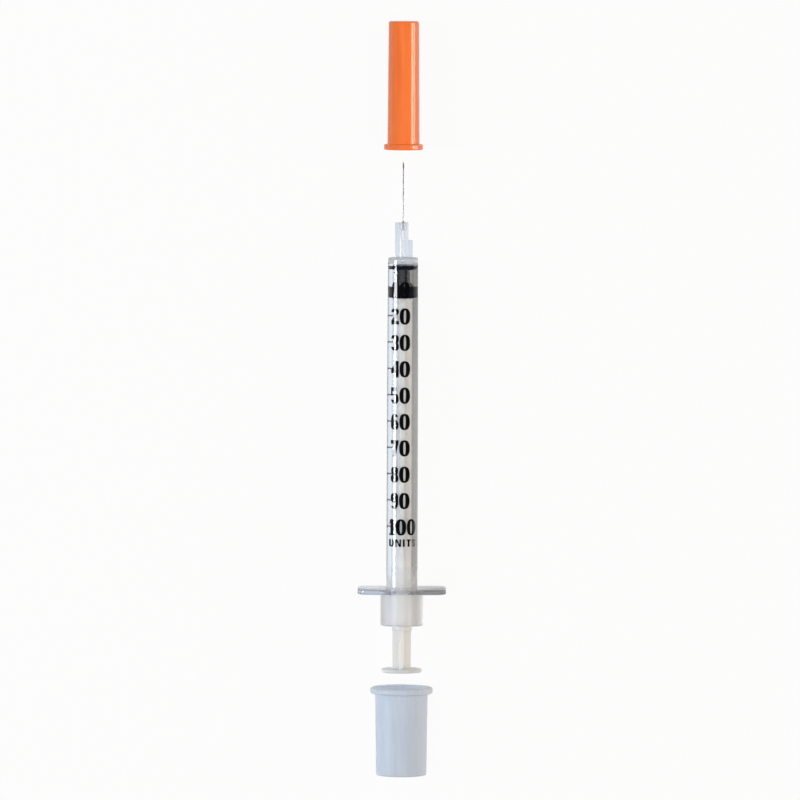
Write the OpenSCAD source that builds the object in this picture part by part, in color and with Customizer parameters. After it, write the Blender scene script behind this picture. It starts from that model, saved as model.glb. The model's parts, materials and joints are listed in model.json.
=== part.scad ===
// Insulin syringe, 1 mL, with its needle shield and its plunger cap taken off.
// It lies along Y with the needle towards +Y and the numerals facing +Z.
// The origin is on the barrel's axis, in the needle side of the finger flange.
// All lengths are in millimetres.

/* [Barrel] */
// Bore of the barrel
bore_d = 4.74; // [4.6:0.02:4.9]
// Outside of the barrel where it is gripped
barrel_d = 6.7; // [6.5:0.05:7.1]
// Outside of the barrel at its front shoulder
nose_d = 6.44; // [6.2:0.04:6.48]
// Straight length of the grip, from the flange towards the needle
grip_l = 44; // [24:1:50]
// Wall that closes the bore at the needle end
end_wall = 1.2; // [1:0.1:2]
// Rounding of the shoulder's edge
shoulder_round = 0.45; // [0.2:0.05:0.7]
// Flange to the last line of the scale
scale_margin = 13.3; // [11:0.1:16]
// Outside of the collar behind the flange
collar_d = 9.2; // [8.9:0.05:9.3]
// Length of the collar behind the flange
collar_l = 7; // [5:0.1:8]

/* [Finger flange] */
// Width of the flange across the fingers
flange_w = 19; // [17:0.5:22]
// Depth of the flange, between its two flat sides
flange_depth = 12.5; // [11:0.1:14]
// Thickness of the flange
flange_t = 1.05; // [0.9:0.05:1.5]
// Corner radius of the flange in plan
flange_corner_r = 2.4; // [1.5:0.1:4]
// Rounding of the flange's edges
flange_edge_r = 0.25; // [0.1:0.05:0.4]

/* [Hub] */
// Length of the needle hub in front of the shoulder
hub_l = 7.5; // [6:0.1:8]
// Diameter of the hub's centre post
hub_post_d = 2.3; // [2:0.05:2.5]
// Thickness of the hub's ribs
hub_rib_t = 0.8; // [0.6:0.05:1]
// Reach of the two tall ribs from the axis
tall_rib_reach = 1.75; // [1.5:0.05:1.9]
// Reach of the two short ribs from the axis
short_rib_reach = 2.05; // [1.8:0.05:2.1]
// Height of the two short ribs above the shoulder
short_rib_h = 3.7; // [2.5:0.1:4.5]
// Diameter of the adhesive well in the hub's end
well_d = 1.1; // [0.8:0.05:1.4]
// Depth of the adhesive well
well_depth = 1.6; // [1:0.1:2.5]

/* [Needle] */
// Outside diameter of the steel cannula
cannula_d = 0.34; // [0.28:0.01:0.4]
// Bore of the steel cannula
lumen_d = 0.18; // [0.12:0.01:0.2]
// Length of the cannula that stands out of the hub
needle_l = 13.05; // [8:0.05:13.5]
// Angle of the tip's long grind to the axis
bevel_angle = 12; // [9:1:16]
// Radial room for adhesive between the cannula and the hub
glue_gap = 0.05; // [0.03:0.01:0.08]
// Height of the adhesive's cone above the hub
glue_cone_h = 0.35; // [0.2:0.05:0.6]

/* [Stopper] */
// Length of the rubber stopper
stopper_l = 7; // [6.3:0.1:8]
// Length of the stopper's front sealing lip, at its edge
front_lip_l = 0.85; // [0.5:0.05:1.1]
// Length of the stopper's narrow waist
waist_l = 2.45; // [2:0.05:3]
// Diameter of the stopper's waist
waist_d = 3; // [2.8:0.1:3.8]
// Radial running gap between the stopper and the bore
stopper_gap = 0.03; // [0.02:0.01:0.05]
// Place of the stopper at rest, in units of the scale
rest_units = 0.85; // [0.1:0.05:2]

/* [Plunger rod] */
// Width of the rod across its ribs
rod_w = 4; // [3.6:0.05:4.2]
// Thickness of the rod's four ribs
rod_rib_t = 0.85; // [0.7:0.05:1.1]
// Diameter of the two discs that guide the rod
guide_d = 4.36; // [4.3:0.02:4.4]
// Diameter of the thumb press
thumb_d = 8.6; // [8:0.1:8.8]
// Thickness of the thumb press
thumb_t = 0.75; // [0.6:0.05:1.2]
// Collar to thumb press, when the stopper is at 0
thumb_stand_off = 9.35; // [7:0.05:10]
// Volume that the barrel takes past its scale, in units
overfill = 10; // [5:1:12]

/* [Needle shield] */
// Length of the shield
shield_l = 27.6; // [25:0.1:30]
// Outside of the shield beside its lip
shield_mouth_d = 6.9; // [6.6:0.05:7.3]
// Outside of the shield at its closed end
shield_end_d = 6.55; // [6.2:0.05:6.6]
// Diameter of the shield's lip
shield_lip_d = 8.4; // [8:0.1:9]
// Thickness of the shield's lip
shield_lip_t = 1.25; // [0.9:0.05:1.6]
// Wall of the shield over the needle
shield_wall = 1.85; // [1.6:0.05:2.2]
// Wall across the shield's closed end
shield_floor_t = 1.15; // [0.9:0.05:1.3]
// Shoulder to shield, when it is taken off
shield_off = 23.1; // [18:0.1:30]

/* [Plunger cap] */
// Length of the cap
cap_l = 19; // [18.6:0.1:22]
// Outside of the cap's body beside its rim
cap_mouth_d = 11.3; // [10.9:0.05:12]
// Outside of the cap's body at its closed end
cap_end_d = 10.85; // [10.6:0.05:10.9]
// Diameter of the cap's rim
cap_rim_d = 13.5; // [12.5:0.1:14.5]
// Thickness of the cap's rim
cap_rim_t = 1.4; // [1:0.1:2]
// Wall across the cap's closed end
cap_floor_t = 0.85; // [0.7:0.05:1]
// Thumb press to cap, when it is taken off
cap_off = 3.25; // [2:0.05:6]

/* [Scale] */
// Units that the scale holds
capacity = 100; // [50:10:100]
// Units from one line to the next
line_step = 2; // [1:1:5]
// Units from one number to the next
number_step = 10; // [10:10:50]
// Thickness of a printed line
line_w = 0.25; // [0.15:0.05:0.4]
// Height of the numerals
numeral_h = 3.5; // [2.5:0.1:4]
// Width of a figure from 2 to 9, measured round the barrel
numeral_w = 1.95; // [1.4:0.05:2.1]
// Width of a one, measured round the barrel
one_w = 1.8; // [1.4:0.05:2]
// Width of a nought, measured round the barrel
nought_w = 2.35; // [1.8:0.05:2.4]
// Thickness of the heavy strokes of a figure from 2 to 9, measured round the barrel
numeral_stem = 0.74; // [0.4:0.02:0.76]
// Thickness of a one and of a nought's sides, measured round the barrel
nought_stem = 0.92; // [0.4:0.02:0.94]
// Height of the legend's letters
legend_h = 1.6; // [1.2:0.1:2]
// Width of the legend's first letter, measured round the barrel
legend_w = 1.35; // [0.9:0.05:1.4]
// Thickness of the printed ink
ink_t = 0.02; // [0.01:0.01:0.04]

/* [Hidden] */

$fn = 96;
// Overrun of every cut past the face that it opens
over = 0.5;
// Gap between faces that seat on each other but can part
seat_gap = 0.05;
// Steps of a drawn arc in a turned profile
arc_steps = 6;
// Edge of the cube that holds one millilitre, and the units of insulin in it
millilitre_edge = 10;
units_per_millilitre = 100;

// Places along the axis, from the needle side of the flange
bore_r = bore_d / 2;
unit_pitch = pow(millilitre_edge, 3) / units_per_millilitre / (PI * bore_r * bore_r);
bore_end_y = scale_margin + capacity * unit_pitch;
shoulder_y = bore_end_y + end_wall;
hub_top_y = shoulder_y + hub_l;
collar_mouth_y = -flange_t - collar_l;
travel = (capacity + overfill) * unit_pitch;

// Barrel: inside and outside
barrel_r = barrel_d / 2;
nose_r = nose_d / 2;
collar_round = 0.2;
mouth_chamfer = 0.35;
bead_h = 0.1;
bead_w = 0.3;
bead_gap = 0.15;
port_d = lumen_d * 2;
needle_seat_y = shoulder_y - end_wall / 2;

// Side grinds of the tip: steeper than the long one by this share, and turned by this angle
lancet_share = 1.5;
lancet_turn = 38;

// Stopper, from its front to its rear
zero_y = bore_end_y - seat_gap;
stopper_front_y = zero_y - rest_units * unit_pitch;
stopper_rear_y = stopper_front_y - stopper_l;
stopper_r = bore_r - stopper_gap;
stopper_edge = 0.12;
lip_cone_l = 0.3;
flare_l = 0.8;
groove_w = 0.35;
groove_depth = 0.05;
bead_y = zero_y - stopper_l - travel - bead_gap;

// Rod's snap head and the pocket that it fills in the stopper
neck_share = 0.48;
head_share = 0.68;
neck_d = rod_w * neck_share;
neck_l = 1.2;
head_d = rod_w * head_share;
head_l = 1.2;
head_gap = 0.03;
front_disc_t = 0.7;
rear_disc_t = 1.15;
thumb_front_y = collar_mouth_y - thumb_stand_off;
thumb_back_y = thumb_front_y - thumb_t;
thumb_edge = 0.2;
dish_share = 0.74;
dish_depth = 0.2;

// Needle shield: inside, and the ribs that grip the hub
shield_end_round = 0.6;
shield_lip_round = 0.3;
hub_room = 0.2;
rib_room = 0.06;
shield_rib_w = 0.4;
shield_ribs = 6;
shield_rib_past = 1.5;
shield_mouth_y = shoulder_y + shield_off;
shield_bore_r = short_rib_reach + hub_room;
shield_core_r = shield_end_d / 2 - shield_wall;

// Plunger cap: inside and rim
collar_room = 0.12;
cap_step = 0.2;
cap_bore_r = collar_d / 2 + collar_room;
cap_core_r = cap_bore_r - cap_step;
cap_rim_round = 0.5;
cap_end_round = 0.3;
cap_mouth_y = thumb_back_y - cap_off;

// Scale: angles are measured from the front (+Z) towards -X
long_line_from = 65;
short_line_from = 124;
lines_to = 168;
numeral_gap = 0.14;
short_number_shift = -0.57;
numeral_hair_share = 0.115;
legend_gap = 0.42;
letter_w_shares = [1, 0.95, 0.3, 0.7, 0.68];
legend_stem_share = 0.3;
legend_hair_share = 0.19;
legend_drop = 3.4;
glyph_sides = 32;
// Squareness of a figure's bowls: 1 is an ellipse
bowl_power_share = 0.82;
// Shares of a figure's half width or half height
foot_share = 0.85;
mouth_share = 0.9;
slant_share = 0.2;
bowl_share = 0.62;
// Share of a thin stroke by which the two bowls of a figure pass its middle
cross_share = 0.4;

// Points of an arc, for a turned profile
function arc(centre, r, from, to) =
    [for (i = [0:arc_steps])
        let (a = from + (to - from) * i / arc_steps)
        centre + r * [cos(a), sin(a)]];

// Outside radius of the barrel at a place along its axis
function barrel_r_at(y) =
    y <= grip_l ? barrel_r
    : barrel_r + (nose_r - barrel_r) * (y - grip_l) / (shoulder_y - grip_l);

// Digits of a whole number, first to last
function digits(n) = n >= 10 ? concat(digits(floor(n / 10)), [n % 10]) : [n];

// Sum of the first n values of a list
function sum(list, n) = n == 0 ? 0 : list[n - 1] + sum(list, n - 1);

// Left side of value i, when widths with gaps between them stand in a centred row
function row_place(widths, gap, i) =
    sum(widths, i) + gap * i - (sum(widths, len(widths)) + gap * (len(widths) - 1)) / 2;

// Place, seen from the front, of a point that lies s round the barrel
function seen(s) = barrel_r * sin(s / barrel_r * 180 / PI);

// Stands a shape that is drawn along Z on the axis, from y towards the needle
module on_axis(y) {
    translate([0, y, 0]) rotate([-90, 0, 0]) children();
}

// Turns a profile of [radius, place along the axis] points
module turned(points) {
    on_axis(0) rotate_extrude() polygon(points);
}

module rod_piece(y, l, d) {
    on_axis(y) cylinder(d = d, h = l);
}

module rounded_rectangle(w, d, r) {
    square([w - 2 * r, d], center = true);
    square([w, d - 2 * r], center = true);
    for (x = [-1, 1], y = [-1, 1])
        translate([x * (w / 2 - r), y * (d / 2 - r)]) circle(r);
}

// Barrel
module barrel_outside() {
    turned(concat(
        [[0, collar_mouth_y]],
        arc([collar_d / 2 - collar_round, collar_mouth_y + collar_round], collar_round, -90, 0),
        [
            [collar_d / 2, -flange_t / 2],
            [barrel_r, -flange_t / 2],
            [barrel_r, grip_l]
        ],
        arc([nose_r - shoulder_round, shoulder_y - shoulder_round], shoulder_round, 0, 90),
        [[0, shoulder_y]]
    ));
}

module flange_plate() {
    intersection() {
        on_axis(-flange_t) linear_extrude(flange_t)
            rounded_rectangle(flange_w, flange_depth, flange_corner_r);
        translate([-flange_w / 2 - over, -flange_t / 2, 0]) rotate([90, 0, 90])
            linear_extrude(flange_w + 2 * over)
            rounded_rectangle(flange_t, flange_depth, flange_edge_r);
        translate([0, -flange_t / 2, -flange_depth / 2 - over])
            linear_extrude(flange_depth + 2 * over)
            rounded_rectangle(flange_w, flange_t, flange_edge_r);
    }
}

module hub_rib(angle, reach, h) {
    rotate([0, angle, 0]) translate([0, shoulder_y - end_wall / 2, -hub_rib_t / 2])
        cube([reach, h + end_wall / 2, hub_rib_t]);
}

module hub() {
    rod_piece(shoulder_y - end_wall / 2, hub_l + end_wall / 2, hub_post_d);
    for (angle = [180, 90]) hub_rib(angle, tall_rib_reach, hub_l);
    for (angle = [0, -90]) hub_rib(angle, short_rib_reach, short_rib_h);
}

module retaining_bead() {
    turned([
        [bore_r + bead_h, bead_y],
        [bore_r, bead_y],
        [bore_r - bead_h, bead_y - bead_w],
        [bore_r - bead_h, bead_y - 2 * bead_w],
        [bore_r, bead_y - 3 * bead_w],
        [bore_r + bead_h, bead_y - 3 * bead_w]
    ]);
}

module barrel() {
    color([0.86, 0.9, 0.93, 0.45]) {
        difference() {
            union() {
                barrel_outside();
                flange_plate();
                hub();
            }
            turned([
                [0, collar_mouth_y - over],
                [bore_r + mouth_chamfer + over, collar_mouth_y - over],
                [bore_r, collar_mouth_y + mouth_chamfer],
                [bore_r, bore_end_y],
                [0, bore_end_y]
            ]);
            rod_piece(bore_end_y - over, needle_seat_y - bore_end_y + 2 * over, port_d);
            rod_piece(needle_seat_y, hub_top_y - needle_seat_y + over, cannula_d + 2 * glue_gap);
            rod_piece(hub_top_y - well_depth, well_depth + over, well_d);
        }
        retaining_bead();
    }
}

// Steel cannula, with its three lancet grinds facing the numerals
module tip_cut(angle, turn) {
    rotate([0, turn, 0])
        translate([0, hub_top_y + needle_l, -cannula_d / 2 * cos(turn)])
        rotate([-angle, 0, 0])
        translate([-cannula_d, -needle_l, 0])
        cube([2 * cannula_d, 2 * needle_l, needle_l / 2]);
}

module cannula() {
    color("silver")
        difference() {
            rod_piece(needle_seat_y, hub_top_y + needle_l - needle_seat_y, cannula_d);
            rod_piece(needle_seat_y - over, hub_top_y + needle_l - needle_seat_y + 2 * over, lumen_d);
            tip_cut(bevel_angle, 0);
            for (side = [-1, 1]) tip_cut(bevel_angle * lancet_share, side * lancet_turn);
        }
}

// Adhesive that holds the cannula in the hub
module needle_adhesive() {
    color([0.9, 0.93, 0.95, 0.5])
        difference() {
            turned([
                [0, hub_top_y - well_depth],
                [well_d / 2, hub_top_y - well_depth],
                [well_d / 2, hub_top_y],
                [cannula_d / 2, hub_top_y + glue_cone_h],
                [0, hub_top_y + glue_cone_h]
            ]);
            rod_piece(hub_top_y - well_depth - over, well_depth + glue_cone_h + 2 * over, cannula_d);
        }
}

// Printed scale
module printed_line(units, from) {
    y = bore_end_y - units * unit_pitch;
    r = barrel_r_at(y);
    on_axis(y - line_w / 2) rotate([0, 0, 270 - lines_to]) rotate_extrude(angle = lines_to - from)
        translate([r, 0]) square([ink_t, line_w]);
}

module graduation_lines() {
    color([0.06, 0.06, 0.08])
        for (units = [0:line_step:capacity])
            printed_line(units, units % number_step == 0 ? long_line_from : short_line_from);
}

// Thin sleeve of ink over the whole barrel, which the numerals are cut from
module ink_sleeve() {
    turned([
        [barrel_r, 0],
        [barrel_r + ink_t, 0],
        [barrel_r + ink_t, grip_l],
        [nose_r + ink_t, shoulder_y],
        [nose_r, shoulder_y],
        [barrel_r, grip_l]
    ]);
}

// Numerals: heavy sides, thin tops, drawn about the middle of the figure
function squared(v) = sign(v) * pow(abs(v), bowl_power_share);

module oval(rx, ry) {
    polygon([for (i = [0:glyph_sides - 1])
        [rx * squared(cos(360 * i / glyph_sides)), ry * squared(sin(360 * i / glyph_sides))]]);
}

module bowl(rx, ry, stem, hair) {
    difference() {
        oval(rx, ry);
        oval(rx - stem, ry - hair);
    }
}

module digit_0(a, b, stem, hair) {
    bowl(a, b, stem, hair);
}

module digit_1(a, b, stem, hair) {
    translate([-stem / 2, -b]) square([stem, 2 * b]);
    foot = a * foot_share;
    translate([-foot, -b]) square([2 * foot, hair]);
    polygon([[-stem / 2, b], [-foot, b - 2 * hair], [-foot, b - 3 * hair], [-stem / 2, b - 2 * hair]]);
}

module digit_2(a, b, stem, hair) {
    intersection() {
        translate([0, b / 2]) bowl(a, b / 2, stem, hair);
        translate([-a, b / 2]) square([2 * a, b / 2]);
    }
    polygon([[a, b / 2], [a - stem, b / 2], [-a, 2 * hair - b], [stem - a, 2 * hair - b]]);
    translate([-a, -b]) square([2 * a, 2 * hair]);
}

module digit_3(a, b, stem, hair) {
    cross = hair * cross_share;
    difference() {
        for (side = [-1, 1])
            translate([0, side * (b - cross) / 2]) bowl(a, (b + cross) / 2, stem, hair);
        translate([-a, -b / 2]) square([a * mouth_share, b]);
    }
}

module digit_4(a, b, stem, hair) {
    stem_x = a * slant_share;
    translate([stem_x, -b]) square([stem, 2 * b]);
    translate([-a, -b / 2]) square([2 * a, 2 * hair]);
    polygon([[stem_x, b], [-a, 2 * hair - b / 2], [-a, -b / 2], [stem_x, b - 4 * hair]]);
}

module digit_5(a, b, stem, hair) {
    translate([-a, b - 2 * hair]) square([2 * a - hair, 2 * hair]);
    translate([-a, 0]) square([stem / 2, b]);
    difference() {
        translate([0, -b * (1 - bowl_share)]) bowl(a, b * bowl_share, stem, hair);
        translate([-a, -b / 2]) square([a * mouth_share, b / 2]);
    }
}

module digit_6(a, b, stem, hair) {
    translate([0, -b * (1 - bowl_share)]) bowl(a, b * bowl_share, stem, hair);
    intersection() {
        bowl(a, b, stem, hair);
        union() {
            translate([-a, -b]) square([a, 2 * b]);
            translate([-a, b * bowl_share]) square([2 * a, b]);
        }
    }
}

module digit_7(a, b, stem, hair) {
    foot_x = -a * slant_share;
    polygon([
        [-a, b],
        [a, b],
        [a, b - 2 * hair],
        [foot_x + stem / 2, -b],
        [foot_x - stem / 2, -b],
        [a - stem, b - 2 * hair],
        [-a, b - 2 * hair]
    ]);
}

module digit_8(a, b, stem, hair) {
    cross = hair * cross_share;
    translate([0, (b - cross) / 2]) bowl(a * mouth_share, (b + cross) / 2, stem, hair);
    translate([0, (cross - b) / 2]) bowl(a, (b + cross) / 2, stem, hair);
}

module digit(n, a, b, stem, hair) {
    if (n == 0) digit_0(a, b, stem, hair);
    if (n == 1) digit_1(a, b, stem, hair);
    if (n == 2) digit_2(a, b, stem, hair);
    if (n == 3) digit_3(a, b, stem, hair);
    if (n == 4) digit_4(a, b, stem, hair);
    if (n == 5) digit_5(a, b, stem, hair);
    if (n == 6) digit_6(a, b, stem, hair);
    if (n == 7) digit_7(a, b, stem, hair);
    if (n == 8) digit_8(a, b, stem, hair);
    if (n == 9) rotate(180) digit_6(a, b, stem, hair);
}

module number(n) {
    figures = digits(n);
    widths = [for (figure = figures) figure == 0 ? nought_w : figure == 1 ? one_w : numeral_w];
    shift = len(figures) == 2 ? short_number_shift : 0;
    for (i = [0:len(figures) - 1]) {
        place = shift + row_place(widths, numeral_gap, i);
        left = seen(place);
        right = seen(place + widths[i]);
        stem = figures[i] < 2 ? nought_stem : numeral_stem;
        translate([(left + right) / 2, 0])
            digit(
                figures[i],
                (right - left) / 2,
                numeral_h / 2,
                (right - left) / widths[i] * stem,
                numeral_h * numeral_hair_share
            );
    }
}

// Prints a flat drawing on the front of the barrel
module printed() {
    intersection() {
        linear_extrude(barrel_d) children();
        ink_sleeve();
    }
}

module scale_numerals() {
    color([0.06, 0.06, 0.08])
        for (units = [number_step:number_step:capacity])
            printed() translate([0, bore_end_y - units * unit_pitch]) number(units);
}

// Unit legend below the last number, in plain letters
module letter_u(a, b, stem, hair) {
    translate([-a, -b / 2]) square([stem, b + b / 2]);
    translate([a - hair, -b / 2]) square([hair, b + b / 2]);
    intersection() {
        translate([0, -b / 2]) bowl(a, b / 2, stem, hair);
        translate([-a, -b]) square([2 * a, b / 2]);
    }
}

module letter_n(a, b, stem, hair) {
    for (x = [-a, a - hair]) translate([x, -b]) square([hair, 2 * b]);
    polygon([[-a, b], [stem - a, b], [a, -b], [a - stem, -b]]);
}

module letter_i(b, stem) {
    translate([-stem / 2, -b]) square([stem, 2 * b]);
}

module letter_t(a, b, stem, hair) {
    letter_i(b, stem);
    translate([-a, b - hair]) square([2 * a, hair]);
}

module letter_s(a, b, stem, hair) {
    cross = hair * cross_share;
    difference() {
        translate([0, (b - cross) / 2]) bowl(a, (b + cross) / 2, stem, hair);
        square([a, b / 2]);
    }
    difference() {
        translate([0, (cross - b) / 2]) bowl(a, (b + cross) / 2, stem, hair);
        translate([-a, -b / 2]) square([a, b / 2]);
    }
}

module letter(i, a, b, stem, hair) {
    if (i == 0) letter_u(a, b, stem, hair);
    if (i == 1) letter_n(a, b, stem, hair);
    if (i == 2) letter_i(b, stem);
    if (i == 3) letter_t(a, b, stem, hair);
    if (i == 4) letter_s(a, b, stem, hair);
}

module unit_legend() {
    widths = letter_w_shares * legend_w;
    hair = legend_h * legend_hair_share;
    color([0.06, 0.06, 0.08])
        printed()
        translate([0, bore_end_y - capacity * unit_pitch - legend_drop])
        for (i = [0:len(widths) - 1]) {
            place = row_place(widths, legend_gap, i);
            left = seen(place);
            right = seen(place + widths[i]);
            stem = min(legend_w * legend_stem_share, right - left);
            translate([(left + right) / 2, 0]) letter(i, (right - left) / 2, legend_h / 2, stem, hair);
        }
}

// Rubber stopper: front lip, waist that flares out, and a rear body with a shallow groove round it
module stopper() {
    body_l = stopper_l - front_lip_l - lip_cone_l - waist_l - flare_l;
    groove_y = stopper_rear_y + (body_l - groove_w) / 2;
    body_y = stopper_rear_y + body_l;
    waist_y = body_y + flare_l;
    lip_y = waist_y + waist_l;
    color([0.05, 0.06, 0.09])
        difference() {
            turned([
                [0, stopper_rear_y],
                [stopper_r - stopper_edge, stopper_rear_y],
                [stopper_r, stopper_rear_y + stopper_edge],
                [stopper_r, groove_y],
                [stopper_r - groove_depth, groove_y + groove_w / 3],
                [stopper_r - groove_depth, groove_y + groove_w * 2 / 3],
                [stopper_r, groove_y + groove_w],
                [stopper_r, body_y],
                [waist_d / 2, waist_y],
                [waist_d / 2, lip_y],
                [stopper_r, lip_y + lip_cone_l],
                [stopper_r, stopper_front_y - stopper_edge],
                [stopper_r - stopper_edge, stopper_front_y],
                [0, stopper_front_y]
            ]);
            rod_piece(stopper_rear_y - over, neck_l + over, neck_d);
            rod_piece(stopper_rear_y + neck_l, head_l, head_d);
        }
}

// Plunger rod: thumb press, four ribs, two guide discs and the head that snaps into the stopper
module thumb_press() {
    difference() {
        turned([
            [0, thumb_back_y],
            [thumb_d / 2 - thumb_edge, thumb_back_y],
            [thumb_d / 2, thumb_back_y + thumb_edge],
            [thumb_d / 2, thumb_front_y - thumb_edge],
            [thumb_d / 2 - thumb_edge, thumb_front_y],
            [0, thumb_front_y]
        ]);
        rod_piece(thumb_back_y - over, over + dish_depth, thumb_d * dish_share);
    }
}

module rod_rib(angle, y, l) {
    rotate([0, angle, 0]) translate([-rod_w / 2, y, -rod_rib_t / 2]) cube([rod_w, l, rod_rib_t]);
}

module plunger_rod() {
    rod_l = stopper_rear_y - thumb_front_y;
    snap_y = stopper_rear_y + neck_l;
    color([0.95, 0.95, 0.93]) {
        thumb_press();
        intersection() {
            for (angle = [0, 90]) rod_rib(angle, thumb_front_y - thumb_t / 2, rod_l + thumb_t / 2);
            rod_piece(thumb_front_y - thumb_t / 2, rod_l + thumb_t / 2, rod_w);
        }
        rod_piece(stopper_rear_y - front_disc_t, front_disc_t, guide_d);
        rod_piece(collar_mouth_y - rear_disc_t, rear_disc_t, guide_d);
        rod_piece(
            stopper_rear_y - front_disc_t / 2,
            front_disc_t / 2 + neck_l + head_gap,
            neck_d - 2 * head_gap
        );
        rod_piece(snap_y + head_gap, head_l - 2 * head_gap, head_d - 2 * head_gap);
    }
}

// Needle shield
module shield_outside() {
    lip_r = shield_lip_d / 2;
    lip_y = shield_mouth_y + shield_lip_t;
    end_y = shield_mouth_y + shield_l;
    turned(concat(
        [[0, shield_mouth_y]],
        arc([lip_r - shield_lip_round, shield_mouth_y + shield_lip_round], shield_lip_round, -90, 0),
        arc([lip_r - shield_lip_round, lip_y - shield_lip_round], shield_lip_round, 0, 90),
        [[shield_mouth_d / 2, lip_y]],
        arc([shield_end_d / 2 - shield_end_round, end_y - shield_end_round], shield_end_round, 0, 90),
        [[0, end_y]]
    ));
}

module shield_inside() {
    room_y = shield_mouth_y + hub_l + hub_room;
    floor_y = shield_mouth_y + shield_l - shield_floor_t;
    turned([
        [0, shield_mouth_y - over],
        [shield_bore_r + mouth_chamfer + over, shield_mouth_y - over],
        [shield_bore_r, shield_mouth_y + mouth_chamfer],
        [shield_bore_r, room_y],
        [shield_core_r, room_y + shield_bore_r],
        [shield_core_r, floor_y - shield_core_r],
        [0, floor_y]
    ]);
}

module needle_shield() {
    crest_r = short_rib_reach + rib_room;
    color([0.94, 0.47, 0.22]) {
        difference() {
            shield_outside();
            shield_inside();
        }
        for (i = [0:shield_ribs - 1])
            rotate([0, 360 * i / shield_ribs, 0])
                translate([crest_r, shield_mouth_y + 2 * mouth_chamfer, -shield_rib_w / 2])
                cube([shield_bore_r - crest_r + hub_room, short_rib_h + shield_rib_past, shield_rib_w]);
    }
}

// Plunger cap
module cap_outside() {
    end_y = cap_mouth_y - cap_l;
    rim_y = cap_mouth_y - cap_rim_t;
    turned(concat(
        [[0, end_y]],
        arc([cap_end_d / 2 - cap_end_round, end_y + cap_end_round], cap_end_round, -90, 0),
        [[cap_mouth_d / 2, rim_y]],
        arc([cap_rim_d / 2 - cap_rim_round, rim_y + cap_rim_round], cap_rim_round, -90, 0),
        arc([cap_rim_d / 2 - cap_rim_round, cap_mouth_y - cap_rim_round], cap_rim_round, 0, 90),
        [[0, cap_mouth_y]]
    ));
}

module cap_inside() {
    turned([
        [0, cap_mouth_y + over],
        [cap_bore_r + mouth_chamfer + over, cap_mouth_y + over],
        [cap_bore_r, cap_mouth_y - mouth_chamfer],
        [cap_bore_r, cap_mouth_y - collar_l],
        [cap_core_r, cap_mouth_y - cap_l + cap_floor_t],
        [0, cap_mouth_y - cap_l + cap_floor_t]
    ]);
}

module plunger_cap() {
    color([0.78, 0.84, 0.92, 0.8])
        difference() {
            cap_outside();
            cap_inside();
        }
}

barrel();
cannula();
needle_adhesive();
graduation_lines();
scale_numerals();
unit_legend();
stopper();
plunger_rod();
needle_shield();
plunger_cap();
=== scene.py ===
import json
import math

import bmesh
import bpy
from mathutils import Euler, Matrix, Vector


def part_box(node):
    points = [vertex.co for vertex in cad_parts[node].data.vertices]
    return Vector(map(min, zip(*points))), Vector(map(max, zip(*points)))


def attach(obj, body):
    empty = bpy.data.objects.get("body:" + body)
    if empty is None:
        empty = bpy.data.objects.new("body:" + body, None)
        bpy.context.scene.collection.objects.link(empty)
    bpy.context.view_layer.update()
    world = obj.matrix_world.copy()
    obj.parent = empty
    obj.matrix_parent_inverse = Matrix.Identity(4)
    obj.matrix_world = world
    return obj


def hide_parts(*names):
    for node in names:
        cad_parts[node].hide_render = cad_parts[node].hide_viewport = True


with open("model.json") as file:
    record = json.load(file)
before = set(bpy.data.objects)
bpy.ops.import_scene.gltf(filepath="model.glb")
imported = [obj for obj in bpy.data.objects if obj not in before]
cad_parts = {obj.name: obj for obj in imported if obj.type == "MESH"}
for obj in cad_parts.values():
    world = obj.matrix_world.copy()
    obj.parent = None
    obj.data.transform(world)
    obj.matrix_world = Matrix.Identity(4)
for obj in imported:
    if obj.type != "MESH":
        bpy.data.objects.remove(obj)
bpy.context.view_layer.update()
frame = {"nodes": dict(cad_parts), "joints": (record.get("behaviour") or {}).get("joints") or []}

MM = 0.001


def reach(node, axis, side):
    """How far a CAD node goes along an axis (0 to 2), at its low (0) or high (1) side."""
    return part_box(node)[side][axis] / MM


# Barrel. A root fillet stops a few degrees short of flush, so that what it meets cuts it cleanly.
COLLAR_MOUTH_Y = reach("barrel", 1, 0)
HUB_TOP_Y = reach("barrel", 1, 1)
FLANGE_W = 2 * reach("barrel", 0, 1)
FLANGE_DEPTH = 2 * reach("barrel", 2, 1)
FLANGE_T = 1.05
FLANGE_CORNER_R = 2.4
FLANGE_EDGE_R = 0.3
BORE_R = 2.37
BARREL_R = 3.35
NOSE_R = 3.22
GRIP_L = 44
END_WALL = 1.2
HUB_L = 7.5
SHOULDER_Y = HUB_TOP_Y - HUB_L
BORE_END_Y = SHOULDER_Y - END_WALL
SHOULDER_ROUND = 0.45
COLLAR_R = 4.6
COLLAR_ROUND = 0.25
MOUTH_CHAMFER = 0.35
ROOT_FILLET = 0.3
FILLET_STOP = 5
BEAD_H = 0.1
BEAD_W = 0.3
PORT_R = 0.18
HUB_POST_R = 1.15
HUB_RIB_T = 0.8
TALL_RIB_REACH = 1.75
SHORT_RIB_REACH = 2.05
SHORT_RIB_H = 3.7
HUB_EDGE_R = 0.08
WELL_R = 0.55
WELL_DEPTH = 1.6
GLUE_GAP = 0.05

# Needle and its adhesive. TIP_EDGE keeps the point a little blunt, and GLUE_SKIN keeps the adhesive off the
# steel and the hub's end.
CANNULA_R = 0.17
LUMEN_R = 0.09
NEEDLE_TIP_Y = reach("cannula", 1, 1)
NEEDLE_SEAT_Y = reach("cannula", 1, 0)
BEVEL_ANGLE = 12
LANCET_ANGLE = 18
LANCET_TURN = 38
TIP_EDGE = 0.008
GLUE_CONE_H = 0.35
GLUE_SKIN = 0.02

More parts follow.
